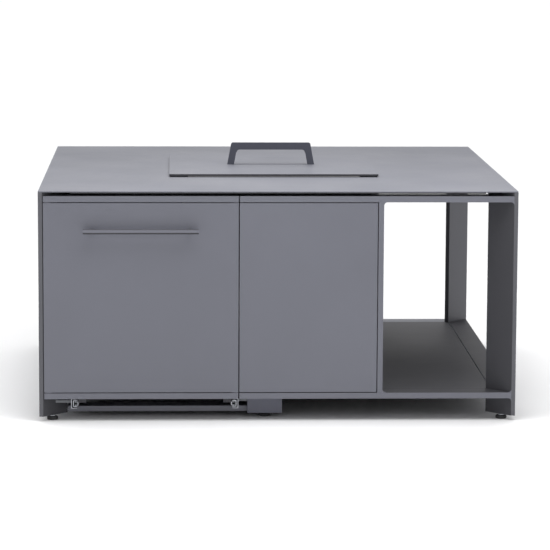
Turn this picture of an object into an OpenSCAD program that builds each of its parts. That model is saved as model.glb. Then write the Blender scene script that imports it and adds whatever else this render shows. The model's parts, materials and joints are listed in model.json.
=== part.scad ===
/* [Table] */
// width of the square top, left to right
top_w = 1200; // [1000:10:1400]
// depth of the square top, front to back
top_d = 1200; // [1000:10:1400]
// height of the top surface above the floor
top_z = 582; // [540:1:640]
// thickness of the top plate
top_t = 3; // [3:0.5:8]
// corner radius of the top plate
top_r = 4; // [1:1:20]

/* [Frame] */
// width of the perimeter bars, seen from above
rail_w = 55; // [40:1:70]
// height of the perimeter bars
rail_h = 15; // [12:1:25]
// wall of the hollow bars, posts and legs
tube_t = 2; // [1.5:0.5:3]
// top of the upper perimeter bars
rail_top_z = 569.5; // [550:0.5:600]
// top of the lower perimeter bars
rail_low_z = 71.5; // [60:0.5:100]
// thickness of the diagonal corner legs
leg_t = 14; // [10:0.5:20]
// reach of a leg along its diagonal, from the corner to the middle of its inner end
leg_reach = 90; // [70:1:100]
// underside of the legs above the floor
leg_z = 12; // [11:0.5:20]
// bottom plate of a leg, tapped for its levelling foot
leg_plate = 6; // [4:0.5:10]
// left edge of the fixed centre unit
centre_x0 = -97.3; // [-140:0.1:-60]
// left face of the post beside the open bay
post_x0 = 250.3; // [200:0.1:300]
// width of the post beside the open bay
post_w = 13.4; // [10:0.1:20]
// radius of the corner fillets of the open bay
bay_r = 8; // [4:1:15]
// sheet thickness of the panels and walls
sheet_t = 2; // [1:0.25:3]
// width of the shadow grooves round the panels
groove = 2.1; // [1.5:0.1:4]

/* [Base] */
// height of the bars that carry the drawer slides
base_h = 14; // [10:1:20]
// underside of those bars above the floor
base_z = 15; // [12:1:20]
// setback of the front base bar from the front face
base_y = 56; // [40:1:80]
// width of a middle foot block
block_w = 88; // [70:1:100]
// depth of a middle foot block
block_d = 56; // [50:1:80]
// setback of a middle foot block from the front or rear face
block_y = 44; // [30:1:60]

/* [Levelling feet] */
// radius of a foot pad
foot_r = 14; // [10:0.5:20]
// height of a foot pad
foot_h = 9; // [6:0.5:9]
// radius of a foot's threaded stem
stem_r = 4; // [3:0.5:5]
// radial running clearance of stems and spindles
run_fit = 0.05; // [0.02:0.01:0.1]

/* [Drawer] */
// clearance between the drawer front and its neighbours
drawer_gap = 2.6; // [2:0.1:4]
// depth of the drawer front's frame
front_d = 20; // [15:1:30]
// length of the tray behind the drawer front
tray_d = 400; // [350:10:500]
// height of the tray's side walls
tray_h = 120; // [80:10:200]
// travel of the drawer
drawer_travel = 440; // [300:10:480]
// inside radius of the ring that holds a gas bottle
ring_r = 157; // [120:1:160]
// height of that ring
ring_h = 40; // [20:5:60]
// length of the drawer's bar handle
pull_w = 288; // [200:1:320]
// height of the handle bar
pull_h = 12; // [8:1:16]
// thickness of the handle bar
pull_t = 8; // [6:1:12]
// how far the handle stands out from the front
pull_out = 28; // [20:1:40]
// height of the handle's middle above the floor
pull_z = 483; // [400:1:520]
// length of the drawer slides
slide_l = 500; // [450:10:600]

/* [Burner and grate] */
// width of the burner pan, left to right
pan_w = 480; // [400:10:500]
// depth of the burner pan, front to back
pan_d = 452; // [380:2:500]
// depth of the pan below the top surface
pan_h = 75; // [60:5:100]
// sheet thickness of the pan
pan_t = 1.5; // [1:0.25:3]
// width of the pan's flange on the top
flange_w = 32; // [20:1:40]
// radius of the burner ring
burner_r = 110; // [80:5:150]
// radius of the burner's tube
burner_tube_r = 9; // [6:0.5:12]
// number of flame ports round the ring
port_n = 24; // [12:4:36]
// number of rods in the grate
rod_n = 15; // [9:2:21]
// radius of a grate rod
rod_r = 4; // [3:0.5:6]
// height and width of the grate's frame bar
grate_bar = 10; // [8:1:16]

/* [Lid] */
// width of the lid, left to right
lid_w = 548; // [500:2:560]
// depth of the lid, front to back
lid_d = 520; // [480:2:560]
// height of the lid's skirt
lid_h = 5; // [4:0.5:10]
// sheet thickness of the lid
lid_t = 1.5; // [1:0.25:3]
// top of the lid above the top surface
lid_up = 8; // [5:0.5:12]
// width of each square pad under the lid's corners
pad_w = 44; // [30:1:60]
// width of the lid handle at its feet
grip_w0 = 235; // [180:1:260]
// width of the lid handle at its top
grip_w1 = 213; // [160:0.5:240]
// height of the lid handle
grip_h = 59; // [40:1:70]
// width of the lid handle's legs
grip_leg = 18; // [14:1:26]
// height of the lid handle's top bar
grip_bar = 19; // [12:1:24]
// thickness of the lid handle
grip_t = 8; // [5:1:12]
// radius of the lid handle's inner corners
grip_r = 8; // [4:1:12]

/* [Controls] */
// depth of the recess that holds the controls
recess_d = 34; // [28:1:45]
// radius of the gas knob
knob_r = 20; // [15:1:25]
// length of the gas knob
knob_l = 24; // [18:1:28]
// radius of the gas valve's spindle
spindle_r = 3; // [2.5:0.5:4]
// radius of the igniter button
button_r = 8; // [6:0.5:10]
// radius of the rigid gas pipes
pipe_r = 5; // [4:0.5:7]

/* [Part shown] */
// which piece to draw

/* [Hidden] */
$fn = 48;

graphite = "#70727c";
dark_coat = "#4a4b4f";
zinc = "#b9bcc2";
polished = "#cfcfd2";
black = "#1c1c1e";
brass = "#b08d45";
white_ceramic = "#e8e4da";

x1 = top_w / 2;
y0 = -(top_d + pull_out) / 2 + pull_out;
y1 = y0 + top_d;
yc = (y0 + y1) / 2;
under_z = top_z - top_t;
leg_c = leg_t / sqrt(2);
leg_e = leg_reach / sqrt(2);
shelf_cut = 2 * leg_e + 1.5;
rail_top_b = rail_top_z - rail_h;
rail_low_b = rail_low_z - rail_h;
post_x1 = post_x0 + post_w;
dr_x0 = -x1 + leg_c + drawer_gap;
dr_x1 = centre_x0 - drawer_gap;
front_skin = sheet_t + 0.5;
rear_in = 20;
side_in = 18;
leg_gap = 0.5;
nut_h = leg_z - foot_h - 0.5;

block_x0 = -76;
block_x1 = block_x0 + block_w;

// drawer tray and slides
slide_x = 18;
slide_h = 25;
slide_z = base_z + base_h;
leg_inner_x = -x1 + leg_e + leg_c / 2;
slide_left_x0 = leg_inner_x + 10.5;
slide_right_x1 = centre_x0 - 2.2;
tray_x0 = leg_inner_x + 5;
tray_x1 = dr_x1 - 4;
tray_y0 = y0 + front_d;
tray_y1 = tray_y0 + tray_d;
tray_z = slide_z + slide_h + 4;
bottle_x = (tray_x0 + tray_x1) / 2;
bottle_y = tray_y0 + ring_r + 10;
bracket_w = 20;
bracket_drop = 12;
bracket_l = slide_l * 0.76;

// burner, grate and lid
pan_z = top_z - pan_h;
pan_r = 7;
pan_play = 1.5;
pad_in = 1.5;
pad_gap = 1.5;
notch = pan_w - lid_w + 2 * (lid_t + pad_in + pad_w + pad_gap);
lid_z1 = top_z + lid_up;
lid_z0 = lid_z1 - lid_h;
grate_top = top_z - 3;
grate_play = 6;
grate_x = pan_w / 2 - pan_t - grate_play;
grate_y = pan_d / 2 - pan_t - grate_play;
burner_z = pan_z + pan_t + 22;

// controls
ctl_y = y0 + 250;
ctl_z = 430;
ctl_w = 150;
ctl_h = 90;
ctl_x1 = post_x1;
ctl_x0 = ctl_x1 - recess_d;
wall_x0 = post_x1 - sheet_t;
knob_y = ctl_y - 32;
button_y = ctl_y + 42;
valve_x = ctl_x0 - 22;
elbow_r = 18;
feed_z = pan_z - 32;

module box(xa, xb, ya, yb, za, zb) {
    translate([xa, ya, za])
        cube([xb - xa, yb - ya, zb - za]);
}

// flat rectangle with round corners, centred
module round_rect(w, d, r) {
    square([w - 2 * r, d], center = true);
    square([w, d - 2 * r], center = true);
    for (sx = [-1, 1], sy = [-1, 1])
        translate([sx * (w / 2 - r), sy * (d / 2 - r)])
            circle(r);
}

module along_x(x, y, z) {
    translate([x, y, z])
        rotate([0, 90, 0])
            children();
}

module along_y(x, y, z) {
    translate([x, y, z])
        rotate([-90, 0, 0])
            children();
}

// a piece drawn at the front left corner, repeated at a corner by mirroring
module at_corner(right, rear) {
    translate([0, yc, 0])
        mirror([right ? 1 : 0, 0, 0])
            mirror([0, rear ? 1 : 0, 0])
                translate([0, -yc, 0])
                    children();
}

// plan of a leg, wall taken off all round
module leg_plan(wall) {
    c = leg_c - wall * (sqrt(2) - 1);
    e = leg_e - wall / sqrt(2);
    h = leg_c / 2 - wall / sqrt(2);
    polygon([[wall, wall], [c, wall], [e + h, e - h], [e - h, e + h], [wall, c]]);
}

// a bar between two mitred ends, in plan, from the first corner along +X
module mitred_plan(len, ya, yb) {
    polygon([[leg_c + ya, ya], [len - leg_c - ya, ya],
             [len - leg_c - yb, yb], [leg_c + yb, yb]]);
}

module mitred_tube(len, ya, yb, za) {
    translate([0, 0, za])
        difference() {
            linear_extrude(rail_h)
                mitred_plan(len, ya, yb);
            translate([-1, ya + tube_t, tube_t])
                cube([len + 2, yb - ya - 2 * tube_t, rail_h - 2 * tube_t]);
        }
}

module slots(n, pitch, len, h) {
    for (i = [0:n - 1])
        translate([(i - (n - 1) / 2) * pitch, 0]) {
            square([h, len - h], center = true);
            for (s = [-1, 1])
                translate([0, s * (len - h) / 2])
                    circle(h / 2, $fn = 24);
        }
}

module tabletop() {
    color(graphite)
        translate([0, yc, under_z])
            linear_extrude(top_t)
                difference() {
                    round_rect(top_w, top_d, top_r);
                    round_rect(pan_w + pan_play, pan_d + pan_play, pan_r + 1);
                }
}

module leg() {
    translate([-x1, y0, 0])
        difference() {
            translate([0, 0, leg_z])
                linear_extrude(under_z - leg_z)
                    leg_plan(0);
            translate([0, 0, leg_z + leg_plate])
                linear_extrude(under_z)
                    leg_plan(tube_t);
            translate([leg_e / 2, leg_e / 2, leg_z - 1])
                cylinder(h = leg_plate + 2, r = stem_r + run_fit);
        }
}

module legs() {
    color(graphite)
        for (right = [false, true], rear = [false, true])
            at_corner(right, rear)
                leg();
}

// a bar of the fixed front, square at the centre unit and mitred at the right leg
module front_bar(za) {
    difference() {
        translate([-x1, y0, 0])
            mitred_tube(top_w, 0, rail_w, za);
        box(-x1, centre_x0, y0 - 1, y0 + rail_w + 1, za - 1, za + rail_h + 1);
    }
}

module front_top_rail() {
    color(graphite)
        front_bar(rail_top_b);
}

module front_bottom_rail() {
    color(graphite)
        front_bar(rail_low_b);
}

module front_head_rail() {
    color(graphite)
        difference() {
            translate([-x1, y0, 0])
                mitred_tube(top_w, front_d + 4, rail_w, rail_top_b);
            box(centre_x0, x1, y0 - 1, y0 + rail_w + 1, rail_top_b - 1, rail_top_z + 1);
        }
}

module front_post() {
    color(graphite)
        difference() {
            box(post_x0, post_x1, y0, y0 + rail_w, rail_low_z, rail_top_b);
            box(post_x0 + tube_t, post_x1 - tube_t, y0 + tube_t, y0 + rail_w - tube_t,
                rail_low_z - 1, rail_top_b + 1);
        }
}

// concave fillet between a vertical edge and a horizontal edge of the front face
module fillet(x, z, sx, sz) {
    translate([x, y0 + rail_h, z])
        rotate([90, 0, 0])
            linear_extrude(rail_h)
                difference() {
                    polygon([[0, 0], [sx * bay_r, 0], [sx * bay_r, sz * bay_r],
                             [0, sz * bay_r]]);
                    translate([sx * bay_r, sz * bay_r])
                        circle(bay_r);
                }
}

module bay_fillets() {
    leg_face = x1 - leg_c;
    color(graphite) {
        fillet(post_x1, rail_top_b, 1, -1);
        fillet(post_x1, rail_low_z, 1, 1);
    }
    color(graphite)
        intersection() {
            union() {
                fillet(leg_face, rail_top_b, -1, -1);
                fillet(leg_face, rail_low_z, -1, 1);
                fillet(leg_face, rail_low_b, -1, -1);
            }
            translate([x1 - leg_c - bay_r - 1, y0, 0])
                linear_extrude(top_z)
                    polygon([[0, 0], [bay_r + 1, 0], [bay_r + 1 - rail_h, rail_h],
                             [0, rail_h]]);
        }
}

module rear_rails() {
    color(graphite)
        translate([0, yc, 0])
            mirror([0, 1, 0])
                translate([-x1, y0 - yc, 0])
                    for (z = [rail_top_b, rail_low_b])
                        mitred_tube(top_w, 0, rail_w, z);
}

module side_rail_pair(z) {
    for (s = [0, 1])
        mirror([s, 0, 0])
            translate([-x1, y1, 0])
                rotate([0, 0, -90])
                    mitred_tube(top_d, 0, rail_w, z);
}

module side_top_rails() {
    color(graphite)
        side_rail_pair(rail_top_b);
}

module side_bottom_rails() {
    color(graphite)
        side_rail_pair(rail_low_b);
}

module shelf() {
    xa = post_x1;
    xb = x1 - rail_w - 2;
    ya = y0 + rail_w + 1;
    yb = y1 - rail_w - 1;
    color(dark_coat)
        difference() {
            box(xa, xb, ya, yb, rail_low_b, rail_low_z);
            box(xa + sheet_t, xb - sheet_t, ya - 1, yb + 1, rail_low_b - 1, rail_low_z - sheet_t);
            // corners cut off beside the legs
            for (rear = [false, true])
                at_corner(true, rear)
                    translate([-x1, y0, rail_low_b - 1])
                        linear_extrude(rail_h + 2)
                            polygon([[0, 0], [shelf_cut, 0], [0, shelf_cut]]);
        }
}

module centre_panel() {
    xa = centre_x0;
    xb = post_x0 - groove;
    za = rail_low_z + groove;
    zb = rail_top_b - groove;
    color(graphite)
        difference() {
            box(xa, xb, y0, y0 + 18, za, zb);
            box(xa + sheet_t, xb - sheet_t, y0 + sheet_t, y0 + 19, za + sheet_t, zb - sheet_t);
        }
}

module centre_floor() {
    color(dark_coat)
        box(centre_x0, wall_x0, y0 + rail_w, y1 - rail_w, rail_low_z - sheet_t, rail_low_z);
}

module divider_left() {
    zb = rail_top_b;
    color(graphite)
        difference() {
            box(centre_x0, centre_x0 + sheet_t, y0 + 19, y1 - rail_w, rail_low_z, zb);
            box(centre_x0 - 1, centre_x0 + sheet_t + 1, yc - pan_d / 2 - 8, yc + pan_d / 2 + 8,
                pan_z - 8, zb + 1);
            along_x(centre_x0 - 1, knob_y, ctl_z)
                cylinder(h = sheet_t + 2, r = 8.3);
        }
}

module divider_right() {
    color(graphite)
        difference() {
            box(wall_x0, post_x1, y0 + rail_w, y1 - rail_w, rail_low_z, rail_top_b);
            box(wall_x0 - 1, post_x1 + 1, ctl_y - ctl_w / 2, ctl_y + ctl_w / 2,
                ctl_z - ctl_h / 2, ctl_z + ctl_h / 2);
        }
}

module control_recess() {
    ya = ctl_y - ctl_w / 2;
    yb = ctl_y + ctl_w / 2;
    za = ctl_z - ctl_h / 2;
    zb = ctl_z + ctl_h / 2;
    t = 1.5;
    color(dark_coat)
        difference() {
            box(ctl_x0, ctl_x1, ya, yb, za, zb);
            box(ctl_x0 + t, ctl_x1 + 1, ya + t, yb - t, za + t, zb - t);
            along_x(ctl_x0 - 1, knob_y, ctl_z)
                cylinder(h = t + 2, r = 5);
            along_x(ctl_x0 - 1, button_y, ctl_z)
                cylinder(h = t + 2, r = button_r + 1.5);
        }
}

module vented(xa, xb, y, za, zb, n) {
    difference() {
        box(xa, xb, y, y + sheet_t, za, zb);
        for (z = [za + 70, zb - 70])
            translate([(xa + xb) / 2, y + sheet_t + 1, z])
                rotate([90, 0, 0])
                    linear_extrude(sheet_t + 2)
                        slots(n, 24, 60, 8);
    }
}

module rear_panel_drawer() {
    color(graphite)
        vented(-x1 + rear_in + leg_c + leg_gap, centre_x0 - 0.5, y1 - rear_in,
               rail_low_z, rail_top_b, 13);
}

module rear_panel_centre() {
    color(graphite)
        vented(centre_x0 + sheet_t, wall_x0, y1 - rear_in, rail_low_z, rail_top_b, 9);
}

module left_side_panel() {
    half = top_d / 2 - side_in - leg_c - leg_gap;
    color(graphite)
        translate([-x1 + side_in, yc, 0])
            rotate([0, 0, 90])
                vented(-half, half, 0, rail_low_z, rail_top_b, 25);
}

// hollow bar along X
module bar_x(xa, xb, ya, yb, za, zb) {
    difference() {
        box(xa, xb, ya, yb, za, zb);
        box(xa - 1, xb + 1, ya + tube_t, yb - tube_t, za + tube_t, zb - tube_t);
    }
}

module base_bar() {
    bar_x(leg_inner_x + 0.5, block_x0, y0 + base_y, y0 + base_y + rail_w, base_z, slide_z);
}

module front_stretcher() {
    color(dark_coat)
        base_bar();
}

module rear_stretcher() {
    color(dark_coat)
        at_corner(false, true)
            base_bar();
}

module slide_bearers() {
    ya = y0 + base_y + rail_w;
    yb = y1 - base_y - rail_w;
    color(dark_coat)
        for (x = [slide_left_x0, slide_right_x1 - slide_x])
            difference() {
                box(x, x + slide_x, ya, yb, base_z, slide_z);
                box(x + tube_t, x + slide_x - tube_t, ya - 1, yb + 1,
                    base_z + tube_t, slide_z - tube_t);
            }
}

module foot_block() {
    ya = y0 + block_y;
    yb = ya + block_d;
    color(dark_coat)
        difference() {
            box(block_x0, block_x1, ya, yb, leg_z, rail_low_b);
            box(block_x0 + 3, block_x1 - 3, ya + 3, yb - 3, leg_z + leg_plate, rail_low_b + 1);
            translate([block_x0 + block_w / 2, ya + block_d / 2, leg_z - 1])
                cylinder(h = leg_plate + 2, r = stem_r + run_fit);
        }
}

module front_foot_block() {
    foot_block();
}

module rear_foot_block() {
    at_corner(false, true)
        foot_block();
}

// drawer slides: plans of the three nested channels, open towards +X
module channel(x, z, depth, h, t) {
    difference() {
        translate([x, z])
            square([depth, h]);
        translate([x + t, z + t])
            square([depth, h - 2 * t]);
    }
}

module run_y(len) {
    translate([0, tray_y0 + len, slide_z])
        rotate([90, 0, 0])
            linear_extrude(len)
                children();
}

module both_slides() {
    translate([slide_left_x0, 0, 0])
        children();
    translate([slide_right_x1, 0, 0])
        mirror([1, 0, 0])
            children();
}

module slide_outers() {
    color(zinc)
        both_slides()
            run_y(slide_l)
                channel(0, 0, 14.5, slide_h, 1.5);
}

module slide_middles() {
    color(zinc)
        both_slides() {
            run_y(slide_l)
                channel(5, 4.7, 10.5, slide_h - 9.4, 1.4);
            for (z = [3.1, slide_h - 3.1], i = [0:11])
                translate([9.5, tray_y0 + 3 + i * 14, slide_z + z])
                    sphere(r = 1.25, $fn = 24);
        }
}

module slide_inners() {
    color(zinc)
        both_slides()
            run_y(slide_l)
                difference() {
                    translate([9, 8])
                        square([slide_x - 9, slide_h - 16]);
                    translate([8, 9.4])
                        square([slide_x - 9.5, slide_h - 18.8]);
                }
}

module slide_tabs() {
    za = slide_z + 13;
    zb = za + 7;
    ya = 30;
    yb = 50;
    color(zinc) {
        translate([-x1, y0, za])
            linear_extrude(zb - za)
                polygon([[leg_c + ya, ya], [slide_left_x0 + x1, ya],
                         [slide_left_x0 + x1, yb], [leg_c + yb, yb]]);
        box(slide_right_x1, block_x0, y0 + block_y + 4, y0 + block_y + 24, za, zb);
    }
}

module top_screws() {
    u = leg_e / 2;
    z = (rail_top_z + under_z) / 2;
    color(black)
        for (right = [false, true], rear = [false, true], flip = [0, 1])
            at_corner(right, rear)
                translate([-x1, y0, 0])
                    translate([u + (flip == 0 ? leg_c / 2 : -leg_c / 2),
                               u + (flip == 0 ? -leg_c / 2 : leg_c / 2), z])
                        rotate([0, 0, flip == 0 ? -45 : 135])
                            rotate([0, 90, 0])
                                cylinder(h = 2, r = 2.8);
}

module burner_pan() {
    color(polished)
        translate([0, yc, 0])
            difference() {
                union() {
                    // flanges folded outwards on all four sides, open at the corners
                    translate([0, 0, top_z])
                        linear_extrude(pan_t) {
                            round_rect(pan_w + 2 * flange_w, pan_d - notch, 3);
                            round_rect(pan_w - notch, pan_d + 2 * flange_w, 3);
                        }
                    translate([0, 0, pan_z])
                        linear_extrude(pan_h)
                            round_rect(pan_w, pan_d, pan_r);
                }
                translate([0, 0, pan_z + pan_t])
                    linear_extrude(pan_h + 5)
                        round_rect(pan_w - 2 * pan_t, pan_d - 2 * pan_t, pan_r - pan_t);
                translate([0, 0, pan_z - 1])
                    cylinder(h = pan_t + 2, r = 9.3);
                for (x = [-180, 180], y = [-170, 170])
                    translate([x, y, pan_z - 1])
                        cylinder(h = pan_t + 2, r = 5);
            }
}

// small angles inside the pan that carry the grate
module pan_ledges() {
    z1 = grate_top - grate_bar;
    w = 40;
    color(polished)
        for (sx = [-1, 1], y = [-130, 130])
            translate([sx * (pan_w / 2 - pan_t), yc + y - w / 2, z1])
                rotate([90, 0, 180])
                    translate([0, 0, -w])
                        linear_extrude(w)
                            polygon(sx > 0
                                ? [[0, 0], [16, 0], [16, -2], [2, -2], [2, -18], [0, -18]]
                                : [[0, 0], [-16, 0], [-16, -2], [-2, -2], [-2, -18], [0, -18]]);
}

module burner_ring() {
    color(zinc)
        translate([0, yc, burner_z])
            difference() {
                union() {
                    rotate_extrude($fn = 96)
                        translate([burner_r, 0])
                            circle(burner_tube_r);
                    rotate([0, 90, 0])
                        cylinder(h = 2 * burner_r, r = burner_tube_r - 2, center = true);
                    translate([0, 0, -12])
                        cylinder(h = 20, r = 14);
                }
                for (i = [0:port_n - 1])
                    rotate([0, 0, (i + 0.5) * 360 / port_n])
                        translate([burner_r, 0, 2])
                            cylinder(h = 12, r = 1.5, $fn = 16);
                translate([0, 0, -13])
                    cylinder(h = 12, r = pipe_r + 3.05);
            }
}

// nipple and locknuts through the floor of the pan, below the ring
module burner_feed() {
    z0 = pan_z - 14;
    color(brass)
        translate([0, yc, 0])
            difference() {
                union() {
                    translate([0, 0, z0])
                        cylinder(h = burner_z - 12 - z0, r = pipe_r + 3);
                    translate([0, 0, pan_z - 8])
                        cylinder(h = 8, r = 15, $fn = 6);
                    translate([0, 0, pan_z + pan_t])
                        cylinder(h = 6, r = 15, $fn = 6);
                }
                translate([0, 0, z0 - 1])
                    cylinder(h = 60, r = pipe_r - 1);
            }
}

// igniter electrode and flame probe on a small bracket beside the ring
module electrodes() {
    ye = yc - burner_r - burner_tube_r - 14;
    color(white_ceramic)
        for (x = [-12, 12])
            translate([x, ye, pan_z + pan_t + 2]) {
                cylinder(h = 26, r = 3.5);
                translate([0, 0, 26])
                    cylinder(h = 14, r = 1);
            }
    color(zinc)
        box(-24, 24, ye - 8, ye + 8, pan_z + pan_t, pan_z + pan_t + 2);
}

module gas_valve() {
    color(brass)
        difference() {
            union() {
                box(valve_x - 14, ctl_x0, knob_y - 14, knob_y + 14, ctl_z - 14, ctl_z + 14);
                translate([valve_x, knob_y, ctl_z + 14])
                    cylinder(h = 8, r = 9, $fn = 6);
                along_x(valve_x - 22, knob_y, ctl_z)
                    cylinder(h = 8, r = 9, $fn = 6);
            }
            along_x(ctl_x0 - 16, knob_y, ctl_z)
                cylinder(h = 17, r = spindle_r + run_fit);
        }
}

module supply_pipe() {
    xa = centre_x0 + 16;
    xb = valve_x - 22;
    color(brass)
        along_x(xa, knob_y, ctl_z)
            cylinder(h = xb - xa, r = pipe_r);
}

// quarter bend: starts at the origin along +X and ends pointing along +Y
module elbow() {
    translate([0, elbow_r, 0])
        rotate([0, 0, -90])
            rotate_extrude(angle = 90)
                translate([elbow_r, 0])
                    circle(pipe_r);
}

module burner_pipe() {
    za = ctl_z + 22;
    run_x = valve_x - elbow_r;
    color(brass) {
        // up from the valve, then towards the middle of the table
        translate([valve_x, knob_y, za])
            cylinder(h = feed_z - elbow_r - za, r = pipe_r);
        translate([valve_x, knob_y, feed_z - elbow_r])
            rotate([90, -90, 0])
                elbow();
        along_x(elbow_r, knob_y, feed_z)
            cylinder(h = run_x - elbow_r, r = pipe_r);
        // back to the middle of the pan
        translate([elbow_r, knob_y, feed_z])
            mirror([1, 0, 0])
                elbow();
        along_y(0, knob_y + elbow_r, feed_z)
            cylinder(h = yc - elbow_r - knob_y - elbow_r, r = pipe_r);
        // up into the nipple
        translate([0, yc - elbow_r, feed_z])
            rotate([90, 0, 90])
                elbow();
    }
}

module inlet_fitting() {
    color(brass)
        difference() {
            union() {
                along_x(centre_x0 - 22, knob_y, ctl_z)
                    cylinder(h = 38, r = 8);
                along_x(centre_x0 - 8, knob_y, ctl_z)
                    cylinder(h = 8, r = 13, $fn = 6);
                along_x(centre_x0 + sheet_t, knob_y, ctl_z)
                    cylinder(h = 8, r = 13, $fn = 6);
            }
            along_x(centre_x0 - 23, knob_y, ctl_z)
                cylinder(h = 34, r = 4);
        }
}

module button_bezel() {
    color(black)
        difference() {
            union() {
                along_x(ctl_x0 + 1.5, button_y, ctl_z)
                    cylinder(h = 3, r = button_r + 4);
                along_x(ctl_x0 - 12, button_y, ctl_z)
                    cylinder(h = 14, r = button_r + 1.2);
            }
            along_x(ctl_x0 - 10, button_y, ctl_z)
                cylinder(h = 20, r = button_r + run_fit);
        }
}

// slab of the drawer front, mitred beside the left leg
module drawer_slab(inset, ya, yb, za, zb) {
    translate([0, y0, za])
        linear_extrude(zb - za)
            polygon([[dr_x0 + inset + ya, ya], [dr_x1 - inset, ya],
                     [dr_x1 - inset, yb], [dr_x0 + inset + yb, yb]]);
}

module drawer_front_frame() {
    color(graphite)
        difference() {
            drawer_slab(0, 0, front_d, rail_low_b, rail_top_z);
            drawer_slab(-1, -1, front_skin, rail_low_z, rail_top_b);
            drawer_slab(rail_h, -1, front_d + 1, rail_low_z, rail_top_b);
        }
}

module drawer_panel() {
    color(graphite)
        difference() {
            drawer_slab(0, 0, front_skin, rail_low_z + groove, rail_top_b - groove);
            for (x = pull_posts())
                along_y(x, y0 - 1, pull_z)
                    cylinder(h = 5, r = 2.6);
        }
}

pull_x = (dr_x0 + dr_x1) / 2;
pull_post_r = 4.5;
function pull_posts() = [pull_x - pull_w / 2 + 22, pull_x + pull_w / 2 - 22];

module drawer_handle() {
    color(graphite) {
        translate([pull_x, y0 - pull_out + pull_t, pull_z])
            rotate([90, 0, 0])
                linear_extrude(pull_t)
                    round_rect(pull_w, pull_h, 3);
        for (x = pull_posts())
            along_y(x, y0 - pull_out + pull_t, pull_z)
                difference() {
                    cylinder(h = pull_out - pull_t, r = pull_post_r);
                    translate([0, 0, 6])
                        cylinder(h = 20, r = 2.5);
                }
    }
}

module handle_screws() {
    color(zinc)
        for (x = pull_posts()) {
            along_y(x, y0 + front_skin, pull_z)
                cylinder(h = 3, r = 4.5);
            along_y(x, y0 - 10, pull_z)
                cylinder(h = 10 + front_skin, r = 2.4);
        }
}

module drawer_tray() {
    color(dark_coat)
        difference() {
            box(tray_x0, tray_x1, tray_y0, tray_y1, tray_z, tray_z + tray_h);
            box(tray_x0 + sheet_t, tray_x1 - sheet_t, tray_y0 + sheet_t, tray_y1 - sheet_t,
                tray_z + sheet_t, tray_z + tray_h + 1);
            for (i = [-2:2])
                translate([bottle_x + i * 60, (tray_y0 + tray_y1) / 2 + 150, tray_z - 1])
                    linear_extrude(sheet_t + 2)
                        slots(1, 24, 50, 8);
        }
}

module bottle_ring() {
    color(dark_coat)
        translate([bottle_x, bottle_y, tray_z + sheet_t])
            rotate_extrude($fn = 120)
                translate([ring_r, 0])
                    square([2, ring_h]);
}

module drawer_brackets() {
    color(dark_coat)
        both_slides() {
            translate([slide_x, tray_y0, tray_z - 2])
                cube([bracket_w, bracket_l, 2]);
            translate([slide_x, tray_y0, slide_z + 8])
                cube([2, bracket_l, tray_z - 2 - slide_z - 8]);
            translate([slide_x + 2, tray_y0, tray_z - 2 - bracket_drop])
                cube([bracket_w - 2, 2, bracket_drop]);
        }
}

module lid_sheet() {
    color(graphite)
        translate([0, yc, 0])
            difference() {
                translate([0, 0, lid_z0])
                    linear_extrude(lid_h)
                        round_rect(lid_w, lid_d, 6);
                translate([0, 0, lid_z0 - 1])
                    linear_extrude(lid_h - lid_t + 1)
                        round_rect(lid_w - 2 * lid_t, lid_d - 2 * lid_t, 4.5);
            }
}

// half of the handle's outline is straight: feet wider apart than the top
module lid_handle() {
    a = grip_w0 / 2;
    b = grip_w1 / 2;
    lean = (a - b) / grip_h;
    zi = grip_h - grip_bar;
    r = grip_r;
    color(dark_coat)
        translate([0, yc + grip_t / 2, lid_z1])
            rotate([90, 0, 0])
                linear_extrude(grip_t)
                    difference() {
                        polygon([[-a, 0], [a, 0], [b + lean * 3, grip_h - 3], [b - 3, grip_h],
                                 [-b + 3, grip_h], [-b - lean * 3, grip_h - 3]]);
                        difference() {
                            polygon([[-a + grip_leg, -1], [a - grip_leg, -1],
                                     [a - grip_leg - lean * zi, zi],
                                     [-a + grip_leg + lean * zi, zi]]);
                            for (s = [-1, 1])
                                translate([s * (a - grip_leg - lean * zi), zi])
                                    difference() {
                                        translate([s > 0 ? -r : -1, -r])
                                            square([r + 1, r + 1]);
                                        translate([-s * r, -r])
                                            circle(r);
                                    }
                        }
                    }
}

module lid_pads() {
    color(black)
        for (sx = [-1, 1], sy = [-1, 1])
            translate([sx * (lid_w / 2 - lid_t - pad_w / 2 - pad_in),
                       yc + sy * (lid_d / 2 - lid_t - pad_w / 2 - pad_in), top_z])
                linear_extrude(lid_z1 - lid_t - top_z)
                    round_rect(pad_w, pad_w, 3);
}

module grate() {
    xa = grate_x;
    ya = grate_y;
    z0 = grate_top - grate_bar;
    pitch = 2 * (xa - grate_bar) / (rod_n + 1);
    color(black) {
        difference() {
            box(-xa, xa, yc - ya, yc + ya, z0, grate_top);
            box(-xa + grate_bar, xa - grate_bar, yc - ya + grate_bar, yc + ya - grate_bar,
                z0 - 1, grate_top + 1);
        }
        for (i = [1:rod_n])
            along_y(-xa + grate_bar + i * pitch, yc - ya + grate_bar, grate_top - grate_bar / 2)
                cylinder(h = 2 * (ya - grate_bar), r = rod_r);
    }
}

module control_knob() {
    xa = ctl_x0 + 4;
    color(black)
        union() {
            along_x(xa, knob_y, ctl_z)
                cylinder(h = 4, r = knob_r);
            along_x(xa + 4, knob_y, ctl_z)
                cylinder(h = knob_l - 4, r = knob_r - 4);
            translate([xa + 4, knob_y - 4, ctl_z - knob_r + 1])
                cube([knob_l - 4, 8, 2 * knob_r - 2]);
            along_x(ctl_x0 - 14, knob_y, ctl_z)
                cylinder(h = 19, r = spindle_r);
        }
}

module igniter_button() {
    color(black)
        along_x(ctl_x0 - 5, button_y, ctl_z)
            cylinder(h = 17, r = button_r);
}

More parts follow.
